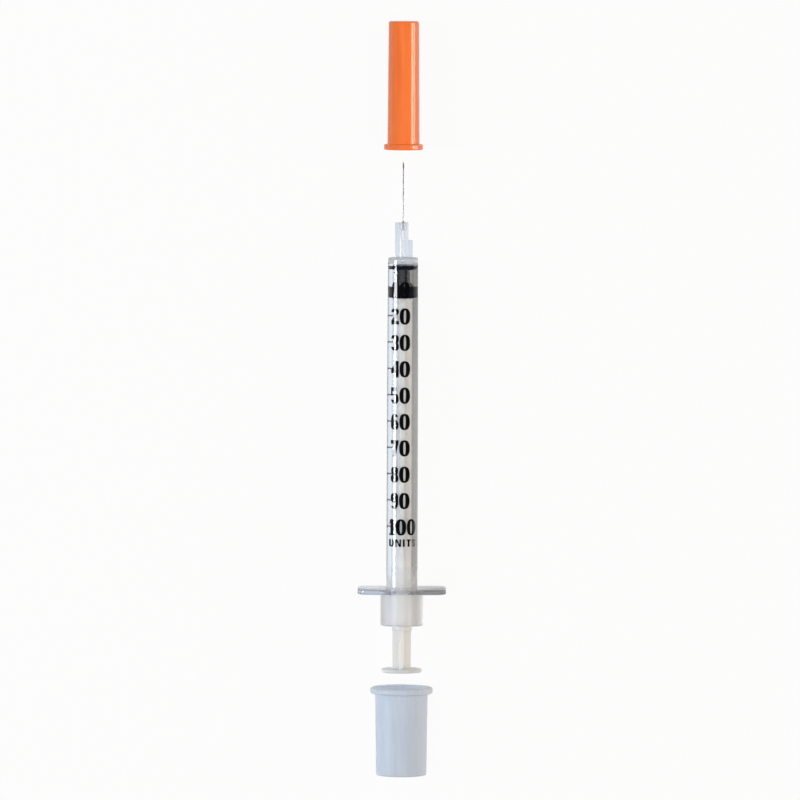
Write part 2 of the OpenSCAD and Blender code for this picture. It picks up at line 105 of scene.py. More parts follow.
# Stopper. The rubber goes a hair into the bore's wall, and its groove is shallow, so it looks wetted on.
STOPPER_FRONT_Y = reach("stopper", 1, 1)
STOPPER_REAR_Y = reach("stopper", 1, 0)
RUBBER_PRESS = 0.006
LIP_L = 0.85
LIP_CONE_L = 0.3
WAIST_L = 2.45
WAIST_R = 1.5
FLARE_L = 0.8
GROOVE_W = 0.35
GROOVE_DEPTH = 0.005
STOPPER_EDGE = 0.12

# Plunger rod, with the snap head that the stopper holds
ROD_R = 2
ROD_RIB_T = 0.85
ROD_FILLET = 0.25
GUIDE_R = 2.18
FRONT_DISC_T = 0.7
REAR_DISC_T = 1.15
DISC_EDGE = 0.15
THUMB_BACK_Y = reach("plunger_rod", 1, 0)
THUMB_T = 0.75
THUMB_FRONT_Y = THUMB_BACK_Y + THUMB_T
THUMB_R = reach("plunger_rod", 0, 1)
THUMB_EDGE = 0.22
DISH_R = 3.2
DISH_DEPTH = 0.2
NECK_R = 0.93
HEAD_R = 1.33
NECK_L = 1.2
HEAD_L = 1.2
HEAD_GAP = 0.03

# Needle shield, with the ribs inside that grip the hub
SHIELD_MOUTH_Y = reach("needle_shield", 1, 0)
SHIELD_END_Y = reach("needle_shield", 1, 1)
SHIELD_LIP_R = reach("needle_shield", 0, 1)
SHIELD_LIP_T = 1.25
SHIELD_MOUTH_R = 3.45
SHIELD_END_R = 3.275
SHIELD_END_ROUND = 0.45
SHIELD_LIP_ROUND = 0.3
SHIELD_BORE_R = 2.25
SHIELD_CORE_R = 1.425
SHIELD_FLOOR_T = 1.15
SHIELD_RIBS = 6
SHIELD_RIB_W = 0.4
SHIELD_RIB_L = 5
SHIELD_CREST_R = 2.11
HUB_ROOM = 0.2

# Plunger cap
CAP_MOUTH_Y = reach("plunger_cap", 1, 1)
CAP_END_Y = reach("plunger_cap", 1, 0)
CAP_RIM_R = reach("plunger_cap", 0, 1)
CAP_RIM_T = 1.4
CAP_RIM_ROUND = 0.5
CAP_MOUTH_R = 5.65
CAP_END_R = 5.425
CAP_END_ROUND = 0.35
CAP_BORE_R = 4.72
CAP_CORE_R = 4.52
CAP_BORE_L = 7
CAP_FLOOR_T = 0.85

# Share of the light that the barrel's thick sections pass clearly, the roughness of their haze, and how far
# up the barrel it goes. The margin takes the flange's faces in where its plastic is picked out by place.
COLLAR_CLEAR = 0.66
FLANGE_CLEAR = 0.9
FLANGE_MARGIN = 0.05
HAZE_ROUGH = 0.12
HAZE_END_Y = 5

# Oil film on the bore: its roughness, and the depths in the wall between which it fades
FILM_ROUGH = 0.12
FILM_DEPTHS = (0.05, 0.2)

# Share of the lamps' light that goes straight through each face of a clear piece, and of the cap
CLEAR_PASS = 0.65
MILKY_PASS = 0.6

# Noise hardly leaves this range
NOISE_LOW = 0.3
NOISE_HIGH = 0.7

# Facets round a turned surface, from the barrel down to the bore of the needle
SIDES = 160
DISC_SIDES = 96
SMALL_SIDES = 64
NEEDLE_SIDES = 40
LUMEN_SIDES = 32

# Angle above which an edge stays sharp, and the overrun of a cut past the face that it opens
SHARP_ANGLE = 35
OVER = 0.5


def linear(code):
    """An sRGB hex colour as linear red, green, blue and alpha."""
    parts = [int(code[i:i + 2], 16) / 255 for i in (0, 2, 4)]
    return tuple(c / 12.92 if c <= 0.04045 else ((c + 0.055) / 1.055) ** 2.4 for c in parts) + (1,)


# Mesh tools
def arc(centre, r, start, end, steps=8):
    """Points of an arc in a turned profile, from one angle in degrees to another."""
    angles = [math.radians(start + (end - start) * i / steps) for i in range(steps + 1)]
    return [(centre[0] + r * math.cos(a), centre[1] + r * math.sin(a)) for a in angles]


def lofted(name, rings):
    """A closed solid skinned over rings of points. A ring of one point is a tip, other ends are capped."""
    shape = bmesh.new()
    loops = [[shape.verts.new(Vector(p) * MM) for p in ring] for ring in rings]
    for low, high in zip(loops, loops[1:]):
        count = max(len(low), len(high))
        for i in range(count):
            j = (i + 1) % count
            corners = [low[i % len(low)], low[j % len(low)], high[j % len(high)], high[i % len(high)]]
            shape.faces.new(list(dict.fromkeys(corners)))
    for loop in (loops[0], loops[-1]):
        if len(loop) > 1:
            shape.faces.new(loop)
    bmesh.ops.recalc_face_normals(shape, faces=shape.faces)
    mesh = bpy.data.meshes.new(name)
    shape.to_mesh(mesh)
    shape.free()
    piece = bpy.data.objects.new(name, mesh)
    bpy.context.scene.collection.objects.link(piece)
    return piece


def turned(name, profile, sides=SIDES):
    """A solid turned about the barrel's axis, from points of radius and place along the axis."""
    turns = [2 * math.pi * i / sides for i in range(sides)]
    return lofted(name, [
        [(0, y, 0)] if r == 0 else [(r * math.sin(a), y, r * math.cos(a)) for a in turns]
        for r, y in profile
    ])


def straight_rod(name, r, y_low, y_high, sides):
    """A round bar about the barrel's axis."""
    return turned(name, [(0, y_low), (r, y_low), (r, y_high), (0, y_high)], sides)


def prism(name, outline, y_low, y_high):
    """A straight bar along Y with an outline of x and z points."""
    return lofted(name, [[(x, y, z) for x, z in outline] for y in (y_low, y_high)])


def merge(piece, other, how):
    """Unites piece with another solid, or cuts the other out of it, and removes the other."""
    change = piece.modifiers.new("merge", "BOOLEAN")
    change.operation = how
    change.solver = "EXACT"
    change.object = other
    seen = piece.evaluated_get(bpy.context.evaluated_depsgraph_get())
    mesh = bpy.data.meshes.new_from_object(seen)
    piece.modifiers.clear()
    old = piece.data
    piece.data = mesh
    mesh.name = piece.name
    bpy.data.meshes.remove(old)
    bpy.data.objects.remove(other)
    return piece


def rounded_bar(name, low, high, edge):
    """A box between two corners with rounded edges."""
    shape = bmesh.new()
    bmesh.ops.create_cube(shape, size=1)
    for v in shape.verts:
        for i in range(3):
            v.co[i] = (high[i] if v.co[i] > 0 else low[i]) * MM
    bmesh.ops.bevel(shape, geom=shape.edges[:], offset=edge * MM, segments=3, profile=0.5, affect="EDGES")
    mesh = bpy.data.meshes.new(name)
    shape.to_mesh(mesh)
    shape.free()
    piece = bpy.data.objects.new(name, mesh)
    bpy.context.scene.collection.objects.link(piece)
    return piece


def dress(piece, body, slot, finish, *nodes):
    """Smooths a piece's curved faces, gives it its finish and fixes it to its body in place of CAD nodes."""
    piece.data.shade_smooth()
    piece.data.set_sharp_from_angle(angle=math.radians(SHARP_ANGLE))
    piece.data.materials.clear()
    piece.data.materials.append(finish)
    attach(piece, body)
    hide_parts(*nodes)
    return piece


# Materials
def add_node(finish, kind, inputs=(), **settings):
    """Adds a node. inputs pair an input's name or number with its value or the output that feeds it."""
    node = finish.node_tree.nodes.new(kind)
    for name, value in settings.items():
        setattr(node, name, value)
    for name, value in dict(inputs).items():
        if isinstance(value, bpy.types.NodeSocket):
            finish.node_tree.links.new(value, node.inputs[name])
        else:
            node.inputs[name].default_value = value
    return node


def new_finish(name, colour, roughness, **more):
    """A material with one Principled shader. more holds its other inputs, with _ for each space. Where a
    noise varies the colour or the roughness, what is given here is about its middle."""
    finish = bpy.data.materials.new(name)
    finish.use_nodes = True
    shader = finish.node_tree.nodes["Principled BSDF"]
    shader.inputs["Base Color"].default_value = linear(colour)
    shader.inputs["Roughness"].default_value = roughness
    for key, value in more.items():
        shader.inputs[key.replace("_", " ")].default_value = value
    return finish, shader


def grain(finish, size, detail=2, stretch=(1, 1, 1)):
    """Noise whose grains are about size millimetres across, longer along an axis with a stretch above 1."""
    place = add_node(finish, "ShaderNodeTexCoord").outputs["Object"]
    scale = [1 / s for s in stretch]
    stretched = add_node(finish, "ShaderNodeMapping", {"Vector": place, "Scale": scale})
    noise = add_node(finish, "ShaderNodeTexNoise", {
        "Vector": stretched.outputs["Vector"],
        "Scale": 1 / (size * MM),
        "Detail": detail,
    })
    return noise.outputs["Fac"]


def feed(finish, node, name, output):
    """Links an output to a node's input."""
    finish.node_tree.links.new(output, node.inputs[name])


def vary_colour(finish, shader, value, dark, light):
    """Colours the surface between two colours by a noise value."""
    share = add_node(finish, "ShaderNodeMapRange", {
        "Value": value, "From Min": NOISE_LOW, "From Max": NOISE_HIGH,
    })
    colour = add_node(finish, "ShaderNodeMix", {
        0: share.outputs["Result"], 6: linear(dark), 7: linear(light),
    }, data_type="RGBA")
    feed(finish, shader, "Base Color", colour.outputs[2])


def vary_gloss(finish, shader, value, low, high):
    """Spreads the shader's roughness over a range by a noise value."""
    rough = add_node(finish, "ShaderNodeMapRange", {
        "Value": value, "From Min": NOISE_LOW, "From Max": NOISE_HIGH, "To Min": low, "To Max": high,
    })
    feed(finish, shader, "Roughness", rough.outputs["Result"])


def relief(finish, shader, value, depth):
    """Bumps the surface by depth millimetres."""
    bump = add_node(finish, "ShaderNodeBump", {"Height": value, "Distance": depth * MM})
    feed(finish, shader, "Normal", bump.outputs["Normal"])


def cover(finish, surface, seen, share, layer):
    """Shows this share of a second shader over a surface to the rays for which seen is 1."""
    part = add_node(finish, "ShaderNodeMath", {0: seen, 1: share}, operation="MULTIPLY")
    both = add_node(finish, "ShaderNodeMixShader", {0: part.outputs[0], 1: surface, 2: layer})
    return both.outputs[0]


def let_light_through(finish, shader, share):
    """Lets this share of the lamps' light straight through each face of a piece to what lies behind it."""
    path = add_node(finish, "ShaderNodeLightPath")
    open_way = add_node(finish, "ShaderNodeBsdfTransparent")
    surface = cover(finish, shader.outputs[0], path.outputs["Is Shadow Ray"], share, open_way.outputs[0])
    feed(finish, finish.node_tree.nodes["Material Output"], "Surface", surface)


def clarified_polypropylene():
    # Clear copolymer moulded on polished steel: bright gloss, a cool tint, faint waves from the core.
    body = "FAFCFE"
    thick = "D8DDE4"
    finish, shader = new_finish("clarified_polypropylene", body, 0.03, IOR=1.49, Transmission_Weight=1)
    place = add_node(finish, "ShaderNodeSeparateXYZ", {
        "Vector": add_node(finish, "ShaderNodeTexCoord").outputs["Object"],
    })
    # Thick sections cool slowly and turn cloudy, as the collar and the barrel's foot do. The flange is seen
    # edge on, through so much plastic that its own bluish grey shows.
    collar = add_node(finish, "ShaderNodeMapRange", {
        "Value": place.outputs["Y"], "From Min": -FLANGE_T * MM, "From Max": HAZE_END_Y * MM,
        "To Min": COLLAR_CLEAR, "To Max": 1,
    })
    plate = add_node(finish, "ShaderNodeMath", {
        0: place.outputs["Y"], 1: -FLANGE_T / 2 * MM, 2: (FLANGE_T / 2 + FLANGE_MARGIN) * MM,
    }, operation="COMPARE")
    clearness = add_node(finish, "ShaderNodeMath", {
        0: plate.outputs[0], 1: FLANGE_CLEAR - COLLAR_CLEAR, 2: collar.outputs["Result"],
    }, operation="MULTIPLY_ADD")
    feed(finish, shader, "Transmission Weight", clearness.outputs[0])
    colour = add_node(finish, "ShaderNodeMix", {
        0: plate.outputs[0], 6: linear(body), 7: linear(thick),
    }, data_type="RGBA")
    feed(finish, shader, "Base Color", colour.outputs[2])
    feed(finish, shader, "Roughness", barrel_roughness(finish, place, clearness))
    relief(finish, shader, grain(finish, 2.5, stretch=(1, 12, 1)), 0.0001)
    let_light_through(finish, shader, CLEAR_PASS)
    return finish


def barrel_roughness(finish, place, clearness):
    """A polished skin, rougher where silicone oil wets the bore and in the haze of thick sections."""
    skin = add_node(finish, "ShaderNodeMapRange", {
        "Value": grain(finish, 1.2, stretch=(1, 6, 1)), "From Min": NOISE_LOW, "From Max": NOISE_HIGH,
        "To Min": 0.02, "To Max": 0.03,
    })
    from_axis = add_node(finish, "ShaderNodeCombineXYZ", {"X": place.outputs["X"], "Y": place.outputs["Z"]})
    radius = add_node(finish, "ShaderNodeVectorMath", {0: from_axis.outputs[0]}, operation="LENGTH")
    film = add_node(finish, "ShaderNodeMapRange", {
        "Value": radius.outputs["Value"],
        "From Min": (BORE_R + FILM_DEPTHS[0]) * MM, "From Max": (BORE_R + FILM_DEPTHS[1]) * MM,
        "To Min": FILM_ROUGH, "To Max": 0,
    })
    haze = add_node(finish, "ShaderNodeMapRange", {
        "Value": clearness.outputs[0], "From Min": COLLAR_CLEAR, "To Min": HAZE_ROUGH, "To Max": 0,
    })
    smooth = add_node(finish, "ShaderNodeMath", {
        0: skin.outputs["Result"], 1: film.outputs["Result"],
    }, operation="ADD")
    rough = add_node(finish, "ShaderNodeMath", {
        0: haze.outputs["Result"], 1: smooth.outputs[0],
    }, operation="ADD")
    return rough.outputs[0]


def white_polypropylene():
    # Unfilled white moulding, satin from a fine spark-eroded tool, a little light glows through its edges.
    finish, shader = new_finish("white_polypropylene", "F2F2EE", 0.4, IOR=1.49, Subsurface_Weight=1,
                                Subsurface_Radius=(1.0, 0.9, 0.8), Subsurface_Scale=2.0 * MM)
    vary_colour(finish, shader, grain(finish, 2.5, stretch=(1, 4, 1)), "F3F3F0", "F9F9F7")
    vary_gloss(finish, shader, grain(finish, 0.4), 0.35, 0.48)
    relief(finish, shader, grain(finish, 0.12), 0.003)
    return finish


def siliconed_rubber():
    # Black butyl rubber, moulded matt and wetted with silicone oil, which gives it a soft broken gloss. Its
    # IOR is that of rubber against oil, so that it shines little.
    finish, shader = new_finish("siliconed_rubber", "07131F", 0.4, IOR=1.12)
    vary_colour(finish, shader, grain(finish, 0.6), "040E18", "0B1826")
    vary_gloss(finish, shader, grain(finish, 0.5), 0.28, 0.5)
    relief(finish, shader, grain(finish, 0.15), 0.004)
    return finish


def drawn_steel():
    # Cold-drawn stainless tube: bright, with marks along it that are too fine to show from a step away.
    finish, shader = new_finish("drawn_steel", "ECEEF0", 0.45, Metallic=1)
    vary_gloss(finish, shader, grain(finish, 0.05, stretch=(1, 30, 1)), 0.4, 0.5)
    relief(finish, shader, grain(finish, 0.03, stretch=(1, 40, 1)), 0.0008)
    return finish


def cured_adhesive():
    # Clear acrylic adhesive, cured in place with a wet gloss and a slight haze.
    finish, shader = new_finish("cured_adhesive", "F4F6F8", 0.1, IOR=1.49, Transmission_Weight=0.95)
    relief(finish, shader, grain(finish, 0.3), 0.001)
    let_light_through(finish, shader, CLEAR_PASS)
    return finish


def printed_ink():
    # Black pad-printed ink that flowed out to the moulding's gloss, with thin spots where the pad lifted.
    finish, shader = new_finish("printed_ink", "06070A", 0.04, IOR=1.49)
    vary_colour(finish, shader, grain(finish, 0.25), "030405", "0C0E12")
    vary_gloss(finish, shader, grain(finish, 0.2), 0.03, 0.06)
    relief(finish, shader, grain(finish, 0.1), 0.0002)
    return finish


def orange_polyethylene():
    # Orange pigmented polyethylene: high gloss from a polished tool, faint flow streaks along its length.
    finish, shader = new_finish("orange_polyethylene", "F47B38", 0.14, IOR=1.6, Subsurface_Weight=0.3,
                                Subsurface_Radius=(1.0, 0.45, 0.2), Subsurface_Scale=1.2 * MM)
    vary_colour(finish, shader, grain(finish, 1.1, 3, stretch=(1, 12, 1)), "EF7736", "F9813C")
    vary_gloss(finish, shader, grain(finish, 1.5, stretch=(1, 5, 1)), 0.12, 0.16)
    relief(finish, shader, grain(finish, 0.5, stretch=(1, 10, 1)), 0.001)
    return finish


def milky_polyethylene():
    # Natural polyethylene with a blue toner: cloudy, so that it glows, with a satin skin and flow streaks.
    finish, shader = new_finish("milky_polyethylene", "DAE7F9", 0.35, IOR=1.51, Transmission_Weight=0.1,
                                Subsurface_Weight=0.45, Subsurface_Radius=(1.0, 1.0, 1.0),
                                Subsurface_Scale=3 * MM)
    vary_colour(finish, shader, grain(finish, 0.8, 4, stretch=(1, 9, 1)), "D5E3F7", "DFEBFC")
    vary_gloss(finish, shader, grain(finish, 0.6, stretch=(1, 8, 1)), 0.28, 0.42)
    relief(finish, shader, grain(finish, 0.45, 3, stretch=(1, 14, 1)), 0.02)
    let_light_through(finish, shader, MILKY_PASS)
    return finish


# Barrel
def barrel_outside():
    """Collar, flange root, straight barrel and shoulder."""
    return turned("barrel_moulding", [
        (0, COLLAR_MOUTH_Y),
        *arc((COLLAR_R - COLLAR_ROUND, COLLAR_MOUTH_Y + COLLAR_ROUND), COLLAR_ROUND, -90, 0),
        *arc((COLLAR_R + ROOT_FILLET, -FLANGE_T - ROOT_FILLET), ROOT_FILLET, 180, 90 + FILLET_STOP),
        (COLLAR_R + ROOT_FILLET, -FLANGE_T / 2),
        (BARREL_R + ROOT_FILLET, -FLANGE_T / 2),
        *arc((BARREL_R + ROOT_FILLET, ROOT_FILLET), ROOT_FILLET, 270 - FILLET_STOP, 180),
        (BARREL_R, GRIP_L),
        *arc((NOSE_R - SHOULDER_ROUND, SHOULDER_Y - SHOULDER_ROUND), SHOULDER_ROUND, 0, 90),
        (0, SHOULDER_Y),
    ])


def rounded_rectangle(w, d, r, steps=10):
    """Outline of a rectangle with round corners, as x and z points."""
    points = []
    for corner, (sx, sz) in enumerate([(1, 1), (-1, 1), (-1, -1), (1, -1)]):
        points += arc((sx * (w / 2 - r), sz * (d / 2 - r)), r, 90 * corner, 90 * corner + 90, steps)
    return points


def flange_plate():
    """Finger flange with round corners and a rounded edge."""
    rings = []
    edge = arc((FLANGE_EDGE_R, -FLANGE_T + FLANGE_EDGE_R), FLANGE_EDGE_R, 270, 180, 5)
    edge += arc((FLANGE_EDGE_R, -FLANGE_EDGE_R), FLANGE_EDGE_R, 180, 90, 5)
    for inset, y in edge:
        outline = rounded_rectangle(FLANGE_W - 2 * inset, FLANGE_DEPTH - 2 * inset, FLANGE_CORNER_R - inset)
        rings.append([(x, y, z) for x, z in outline])
    return lofted("flange_plate", rings)


def hub_rib(x_way, z_way, rib_reach, height):
    """One rib of the hub, which points along x or z."""
    half = HUB_RIB_T / 2
    far = Vector((x_way, 0, z_way)) * rib_reach
    side = Vector((abs(z_way), 0, abs(x_way))) * half
    low = [min(0, far[i]) - side[i] for i in range(3)]
    high = [max(0, far[i]) + side[i] for i in range(3)]
    low[1] = SHOULDER_Y - END_WALL / 2
    high[1] = SHOULDER_Y + height
    return rounded_bar("hub_rib", low, high, HUB_EDGE_R)


def barrel_inside():
    """Bore, port, needle hole and adhesive well, with the bead that keeps the stopper in. A ring of points
    on each side of the bead keeps the shading of the bore's long faces true."""
    slide = next(joint for joint in frame["joints"] if joint["name"] == "plunger_slide")
    travel = slide["range_m"][1] / MM
    bead_y = STOPPER_REAR_Y - travel - BEAD_W / 2
    hole_r = CANNULA_R + GLUE_GAP
    return turned("barrel_inside", [
        (0, COLLAR_MOUTH_Y - OVER),
        (BORE_R + MOUTH_CHAMFER + OVER, COLLAR_MOUTH_Y - OVER),
        (BORE_R, COLLAR_MOUTH_Y + MOUTH_CHAMFER),
        (BORE_R, bead_y - 4 * BEAD_W),
        (BORE_R, bead_y - 3 * BEAD_W),
        (BORE_R - BEAD_H, bead_y - 2 * BEAD_W),
        (BORE_R - BEAD_H, bead_y - BEAD_W),
        (BORE_R, bead_y),
        (BORE_R, bead_y + BEAD_W),
        (BORE_R, BORE_END_Y),
        (PORT_R, BORE_END_Y),
        (PORT_R, NEEDLE_SEAT_Y),
        (hole_r, NEEDLE_SEAT_Y),
        (hole_r, HUB_TOP_Y - WELL_DEPTH),
        (WELL_R, HUB_TOP_Y - WELL_DEPTH),
        (WELL_R, HUB_TOP_Y + OVER),
        (0, HUB_TOP_Y + OVER),
    ])


def barrel_moulding():
    """The barrel in one piece: outside and flange, hub with four ribs, and the inside cut out last."""
    piece = merge(barrel_outside(), flange_plate(), "UNION")
    post = turned("hub_post", [
        (0, SHOULDER_Y - END_WALL / 2),
        (HUB_POST_R, SHOULDER_Y - END_WALL / 2),
        *arc((HUB_POST_R - HUB_EDGE_R, HUB_TOP_Y - HUB_EDGE_R), HUB_EDGE_R, 0, 90, 3),
        (0, HUB_TOP_Y),
    ], SMALL_SIDES)
    for x_way, z_way in ((-1, 0), (0, -1)):
        merge(post, hub_rib(x_way, z_way, TALL_RIB_REACH, HUB_L), "UNION")
    for x_way, z_way in ((1, 0), (0, 1)):
        merge(post, hub_rib(x_way, z_way, SHORT_RIB_REACH, SHORT_RIB_H), "UNION")
    merge(piece, post, "UNION")
    return merge(piece, barrel_inside(), "DIFFERENCE")


# Needle
def cannula_tube():
    """Steel tube with one long grind and two side grinds, made in one cut, which keeps the mesh closed."""
    piece = straight_rod("cannula_tube", CANNULA_R, NEEDLE_SEAT_Y, NEEDLE_TIP_Y, NEEDLE_SIDES)
    lumen = straight_rod("lumen", LUMEN_R, NEEDLE_SEAT_Y - OVER, NEEDLE_TIP_Y + OVER, LUMEN_SIDES)
    merge(piece, lumen, "DIFFERENCE")
    grinds = grinding_face(BEVEL_ANGLE, 0)
    for turn in (-LANCET_TURN, LANCET_TURN):
        merge(grinds, grinding_face(LANCET_ANGLE, turn), "UNION")
    return merge(piece, grinds, "DIFFERENCE")


def grinding_face(angle, turn):
    """The solid that a grinding wheel takes off the tip: it slopes by angle and is turned round the tube."""
    tilt, spin = math.radians(angle), math.radians(turn)
    rest_z = TIP_EDGE - CANNULA_R * math.cos(spin)
    length, width, depth = 3, 2 * CANNULA_R, 1.5
    points = [(x, y, z) for y, z in ((OVER, 0), (-length, 0), (-length, depth), (OVER, depth))
              for x in (-width, width)]
    moved = []
    for x, y, z in points:
        along = y * math.cos(tilt) + z * math.sin(tilt)
        up = -y * math.sin(tilt) + z * math.cos(tilt) + rest_z
        moved.append((x * math.cos(spin) + up * math.sin(spin), along + NEEDLE_TIP_Y,
                      up * math.cos(spin) - x * math.sin(spin)))
    rings = [[moved[i] for i in (0, 2, 4, 6)], [moved[i] for i in (1, 3, 5, 7)]]
    return lofted("grinding_face", rings)


def adhesive_fillet():
    """Adhesive in the hub's well, drawn up the needle in a hollow cone."""
    bottom = HUB_TOP_Y - WELL_DEPTH
    climb = arc((WELL_R, HUB_TOP_Y + GLUE_CONE_H), WELL_R - CANNULA_R - GLUE_SKIN, 255, 185)
    piece = turned("adhesive_fillet", [
        (0, bottom),
        (WELL_R, bottom),
        (WELL_R, HUB_TOP_Y - GLUE_SKIN),
        *climb,
        (0, climb[-1][1]),
    ], SMALL_SIDES)
    hole = straight_rod("needle_hole", CANNULA_R, bottom - OVER, HUB_TOP_Y + 2 * OVER, NEEDLE_SIDES)
    return merge(piece, hole, "DIFFERENCE")


# Stopper
def rubber_stopper():
    """One moulding: front lip, waist that flares out, and a rear body that presses on the bore."""
    r = BORE_R + RUBBER_PRESS
    lip_y = STOPPER_FRONT_Y - LIP_L
    waist_front_y = lip_y - LIP_CONE_L
    waist_rear_y = waist_front_y - WAIST_L
    body_y = waist_rear_y - FLARE_L
    groove_y = (STOPPER_REAR_Y + body_y) / 2
    return turned("rubber_stopper", [
        (0, STOPPER_REAR_Y + NECK_L + HEAD_L),
        (HEAD_R + HEAD_GAP, STOPPER_REAR_Y + NECK_L + HEAD_L),
        (HEAD_R + HEAD_GAP, STOPPER_REAR_Y + NECK_L),
        (NECK_R + HEAD_GAP, STOPPER_REAR_Y + NECK_L),
        (NECK_R + HEAD_GAP, STOPPER_REAR_Y),
        *arc((r - STOPPER_EDGE, STOPPER_REAR_Y + STOPPER_EDGE), STOPPER_EDGE, -90, 0, 5),
        (r, groove_y - GROOVE_W / 2),
        (r - GROOVE_DEPTH, groove_y - GROOVE_W / 6),
        (r - GROOVE_DEPTH, groove_y + GROOVE_W / 6),
        (r, groove_y + GROOVE_W / 2),
        (r, body_y - STOPPER_EDGE),
        (r - STOPPER_EDGE / 2, body_y),
        (WAIST_R, waist_rear_y),
        (WAIST_R, waist_front_y),
        (r - STOPPER_EDGE / 2, lip_y),
        (r, lip_y + STOPPER_EDGE / 2),
        *arc((r - STOPPER_EDGE, STOPPER_FRONT_Y - STOPPER_EDGE), STOPPER_EDGE, 0, 90, 5),
        (0, STOPPER_FRONT_Y),
    ])


# Plunger rod
def cross_outline():
    """Section of the rod: four ribs with round tips and filleted roots, as x and z points."""
    half = ROD_RIB_T / 2
    tip = math.degrees(math.asin(half / ROD_R))
    quarter = arc((0, 0), ROD_R, -tip, tip, 6)
    quarter += arc((half + ROD_FILLET, half + ROD_FILLET), ROD_FILLET, 270, 180, 5)
    points = []
    for turn in range(4):
        c, s = round(math.cos(turn * math.pi / 2)), round(math.sin(turn * math.pi / 2))
        points += [(x * c - z * s, x * s + z * c) for x, z in quarter]
    return points


def guide_disc(name, y, thickness):
    """A disc with rounded edges that keeps the rod in the middle of the bore."""
    return turned(name, [
        (0, y),
        *arc((GUIDE_R - DISC_EDGE, y + DISC_EDGE), DISC_EDGE, -90, 0, 4),
        *arc((GUIDE_R - DISC_EDGE, y + thickness - DISC_EDGE), DISC_EDGE, 0, 90, 4),
        (0, y + thickness),
    ], DISC_SIDES)


def thumb_press():
    """Round end of the rod, with a shallow dish for the thumb."""
    return turned("thumb_press", [
        (0, THUMB_BACK_Y + DISH_DEPTH),
        (DISH_R - DISH_DEPTH, THUMB_BACK_Y + DISH_DEPTH),
        (DISH_R, THUMB_BACK_Y),
        *arc((THUMB_R - THUMB_EDGE, THUMB_BACK_Y + THUMB_EDGE), THUMB_EDGE, -90, 0, 5),
        *arc((THUMB_R - THUMB_EDGE, THUMB_FRONT_Y - THUMB_EDGE), THUMB_EDGE, 0, 90, 5),
        (0, THUMB_FRONT_Y),
    ])


def snap_head(low_y):
    """Neck and head that the stopper's pocket snaps over."""
    head_y = STOPPER_REAR_Y + NECK_L + HEAD_GAP
    top_y = head_y + HEAD_L - 2 * HEAD_GAP
    profile = [(0, low_y), (NECK_R, low_y), (NECK_R, head_y), (HEAD_R, head_y), (HEAD_R, top_y), (0, top_y)]
    return turned("snap_head", profile, SMALL_SIDES)


def plunger():
    """The rod in one piece: ribs, thumb press, two guide discs and snap head."""
    front_y = STOPPER_REAR_Y - FRONT_DISC_T / 2
    piece = prism("plunger", cross_outline(), THUMB_FRONT_Y - THUMB_T / 2, front_y)
    for part in (
        thumb_press(),
        guide_disc("rear_disc", COLLAR_MOUTH_Y - REAR_DISC_T, REAR_DISC_T),
        guide_disc("front_disc", STOPPER_REAR_Y - FRONT_DISC_T, FRONT_DISC_T),
        snap_head(front_y),
    ):
        merge(piece, part, "UNION")
    return piece


# Needle shield
def shield_moulding():
    """Tapered shield with a lip, hollow for the hub and the needle."""
    lip_y = SHIELD_MOUTH_Y + SHIELD_LIP_T
    lip_round_r = SHIELD_LIP_R - SHIELD_LIP_ROUND
    fillet = ROOT_FILLET / 2
    piece = turned("shield_moulding", [
        (0, SHIELD_MOUTH_Y),
        *arc((lip_round_r, SHIELD_MOUTH_Y + SHIELD_LIP_ROUND), SHIELD_LIP_ROUND, -90, 0),
        *arc((lip_round_r, lip_y - SHIELD_LIP_ROUND), SHIELD_LIP_ROUND, 0, 90),
        *arc((SHIELD_MOUTH_R + fillet, lip_y + fillet), fillet, 270, 180, 5),
        *arc((SHIELD_END_R - SHIELD_END_ROUND, SHIELD_END_Y - SHIELD_END_ROUND), SHIELD_END_ROUND, 0, 90),
        (0, SHIELD_END_Y),
    ])
    room_y = SHIELD_MOUTH_Y + HUB_L + HUB_ROOM
    floor_y = SHIELD_END_Y - SHIELD_FLOOR_T
    merge(piece, turned("shield_inside", [
        (0, SHIELD_MOUTH_Y - OVER),
        (SHIELD_BORE_R + MOUTH_CHAMFER + OVER, SHIELD_MOUTH_Y - OVER),
        (SHIELD_BORE_R, SHIELD_MOUTH_Y + MOUTH_CHAMFER),
        (SHIELD_BORE_R, room_y),
        (SHIELD_CORE_R, room_y + SHIELD_BORE_R),
        (SHIELD_CORE_R, floor_y - SHIELD_CORE_R),
        (0, floor_y),
    ], DISC_SIDES), "DIFFERENCE")
    for i in range(SHIELD_RIBS):
        merge(piece, shield_rib(2 * math.pi * i / SHIELD_RIBS), "UNION")
    return piece


def shield_rib(turn):
    """One of the ribs inside the shield that grip the hub."""
    half = SHIELD_RIB_W / 2
    low_y = SHIELD_MOUTH_Y + 2 * MOUTH_CHAMFER
    root_r = SHIELD_BORE_R + HUB_ROOM
    corners = ((SHIELD_CREST_R, -half), (root_r, -half), (root_r, half), (SHIELD_CREST_R, half))
    outline = [(r * math.cos(turn) - s * math.sin(turn), -r * math.sin(turn) - s * math.cos(turn))
               for r, s in corners]
    return prism("shield_rib", outline, low_y, low_y + SHIELD_RIB_L)


